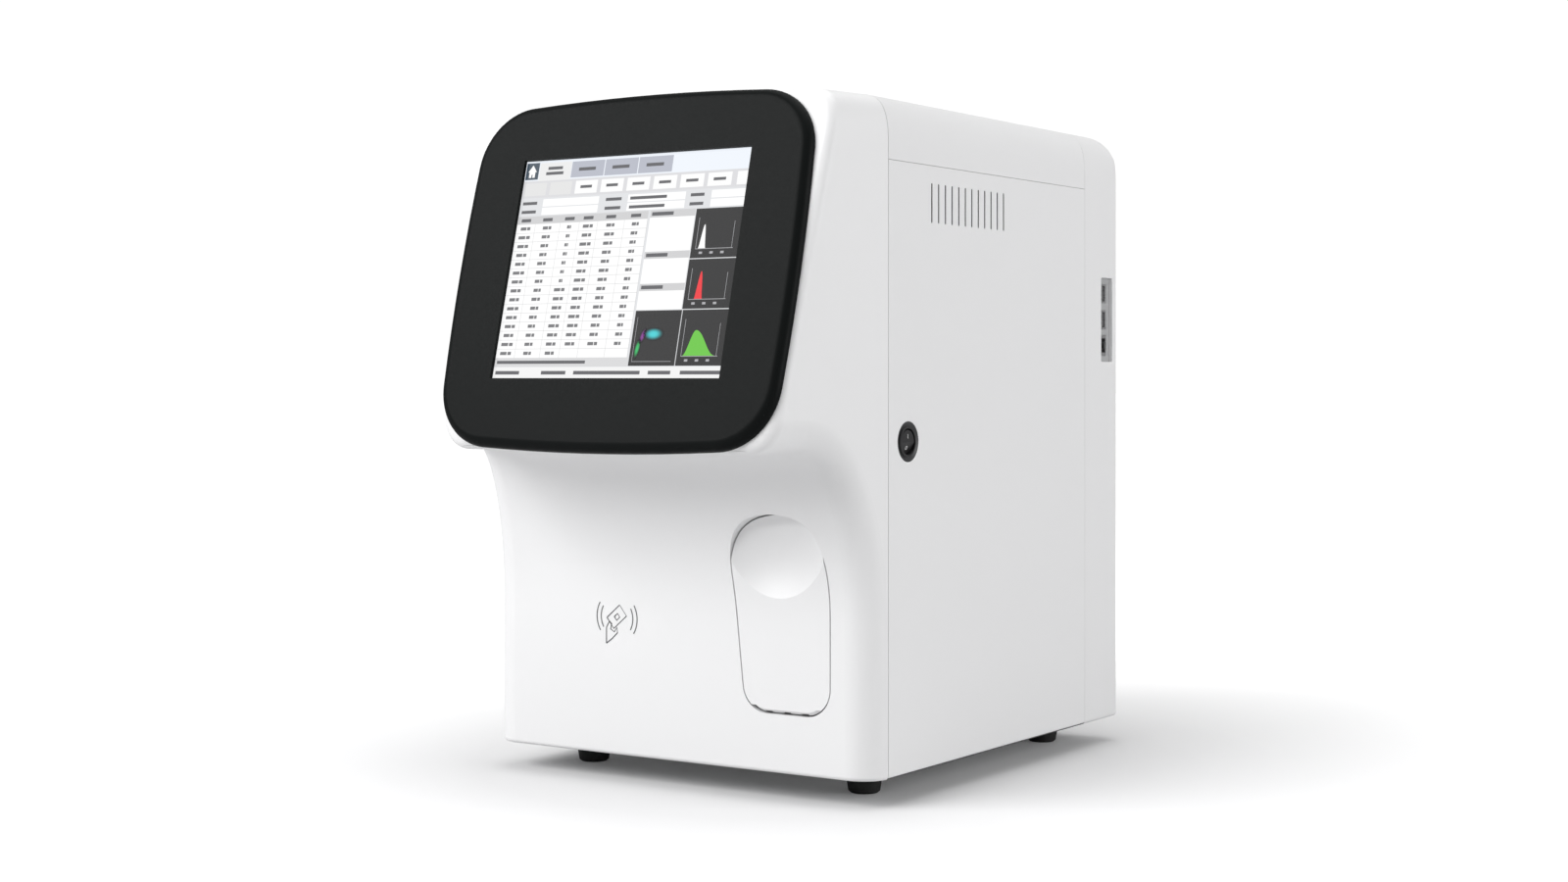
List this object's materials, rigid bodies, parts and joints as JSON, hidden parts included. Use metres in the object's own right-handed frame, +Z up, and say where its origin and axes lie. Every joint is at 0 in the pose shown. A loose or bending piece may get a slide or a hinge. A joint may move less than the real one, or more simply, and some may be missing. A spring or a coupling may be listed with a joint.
{
  "type": "hematology analyzer",
  "caption": "Bench-top blood cell analyser with a tilted touch screen in a rounded black bezel, a concave white front and a tilting sample door.",
  "frame": {"origin": "centre of the bounding box's footprint, on the surface the feet stand on", "axes": "+Z up, the screen and sample door face -Y, +X is to the right for someone facing the screen"},
  "size_m": [0.35, 0.5078, 0.5115],
  "materials": {
    "white_cover": "fine satin",
    "black_bezel": "gloss",
    "screen_glass": "polished",
    "dark_plastic": "matte",
    "grey_plastic": "matte",
    "zinc_steel": "zinc plated",
    "aluminium": "satin anodised",
    "motor_metal": "satin",
    "rubber": "matte",
    "brass": "turned",
    "clear_plastic": "clear",
    "board": "satin"
  },
  "bodies": {
    "root": {"air_pump": "aluminium", "base_pan": "zinc_steel", "bath_bracket": "zinc_steel", "chassis_frame": "zinc_steel", "counting_baths": "clear_plastic", "cover_screws": "zinc_steel", "display_bezel": "black_bezel", "display_module": "dark_plastic", "door_hinge_pin": "zinc_steel", "fan_frame": "dark_plastic", "fan_guard": "zinc_steel", "fitting_plate": "grey_plastic", "fluid_fittings": "brass", "foot_screws": "zinc_steel", "front_cover": "white_cover", "gantry_belt": "rubber", "gantry_motor": "motor_metal", "gantry_plate": "aluminium", "gantry_rail": "zinc_steel", "ground_stud": "brass", "main_board": "board", "mid_deck": "zinc_steel", "network_socket": "zinc_steel", "optical_bench": "aluminium", "port_plate": "grey_plastic", "power_inlet": "dark_plastic", "power_supply": "zinc_steel", "power_switch_body": "dark_plastic", "rear_cover": "white_cover", "rubber_feet": "rubber", "sample_compartment": "grey_plastic", "side_panel_left": "white_cover", "side_panel_right": "white_cover", "solenoid_valves": "dark_plastic", "syringe_barrels": "clear_plastic", "syringe_bracket": "zinc_steel", "syringe_motors": "motor_metal", "top_cover": "white_cover", "touch_glass": "screen_glass", "usb_sockets": "zinc_steel", "vacuum_chamber": "clear_plastic", "valve_manifold": "grey_plastic", "waste_pump_body": "dark_plastic"},
    "door": {"sample_door": "white_cover", "tube_cradle": "grey_plastic", "tube_adapter": "grey_plastic"},
    "rocker": {"power_rocker": "dark_plastic"},
    "fan": {"fan_rotor": "dark_plastic"},
    "carriage": {"carriage": "aluminium", "probe_motor": "motor_metal", "rinse_block": "grey_plastic"},
    "probe": {"probe_holder": "aluminium", "sampling_probe": "zinc_steel"},
    "lift_screw": {"probe_screw": "zinc_steel"},
    "drive_pulley": {"drive_pulley": "grey_plastic"},
    "idler_pulley": {"idler_pulley": "grey_plastic"},
    "plunger_a": {"syringe_plunger_a": "aluminium"},
    "plunger_b": {"syringe_plunger_b": "aluminium"},
    "waste_rotor": {"waste_pump_rotor": "aluminium"},
    "fuse_drawer": {"fuse_drawer": "dark_plastic"}
  },
  "joints": [
    {"name": "door_hinge", "type": "hinge", "parent": "root", "child": "door", "pos_m": [0.101, -0.15256, 0.0665], "axis": [1, 0, 0], "range_deg": [0, 35]},
    {"name": "rocker_hinge", "type": "hinge", "parent": "root", "child": "rocker", "pos_m": [0.1714, -0.10966, 0.2582], "axis": [0, -1, 0], "range_deg": [0, 20]},
    {"name": "fan_spin", "type": "hinge", "parent": "root", "child": "fan", "pos_m": [-0.088, 0.22294, 0.35], "axis": [0, 1, 0], "continuous": true},
    {"name": "carriage_slide", "type": "slide", "parent": "root", "child": "carriage", "axis": [0, 1, 0], "range_m": [0, 0.138]},
    {"name": "probe_slide", "type": "slide", "parent": "carriage", "child": "probe", "axis": [0, 0, -1], "range_m": [0, 0.1]},
    {"name": "probe_screw_spin", "type": "hinge", "parent": "carriage", "child": "lift_screw", "pos_m": [0.118, -0.12556, 0.32], "axis": [0, 0, 1], "range_deg": [0, 3605]},
    {"name": "drive_pulley_spin", "type": "hinge", "parent": "root", "child": "drive_pulley", "pos_m": [0.144, 0.05744, 0.412], "axis": [1, 0, 0], "range_deg": [0, 1246]},
    {"name": "idler_pulley_spin", "type": "hinge", "parent": "root", "child": "idler_pulley", "pos_m": [0.144, -0.13856, 0.412], "axis": [1, 0, 0], "range_deg": [0, 1246]},
    {"name": "plunger_a_slide", "type": "slide", "parent": "root", "child": "plunger_a", "axis": [0, 0, -1], "range_m": [0, 0.03]},
    {"name": "plunger_b_slide", "type": "slide", "parent": "root", "child": "plunger_b", "axis": [0, 0, -1], "range_m": [0, 0.03]},
    {"name": "waste_pump_spin", "type": "hinge", "parent": "root", "child": "waste_rotor", "pos_m": [0, -0.01756, 0.06], "axis": [0, 1, 0], "continuous": true},
    {"name": "fuse_drawer_slide", "type": "slide", "parent": "root", "child": "fuse_drawer", "axis": [0, 1, 0], "range_m": [0, 0.018]}
  ],
  "couplings": [
    {"joint": "probe_screw_spin", "follows": "probe_slide", "rad_per_m": 628.32},
    {"joint": "drive_pulley_spin", "follows": "carriage_slide", "rad_per_m": 156.99},
    {"joint": "idler_pulley_spin", "follows": "carriage_slide", "rad_per_m": 156.99}
  ]
}
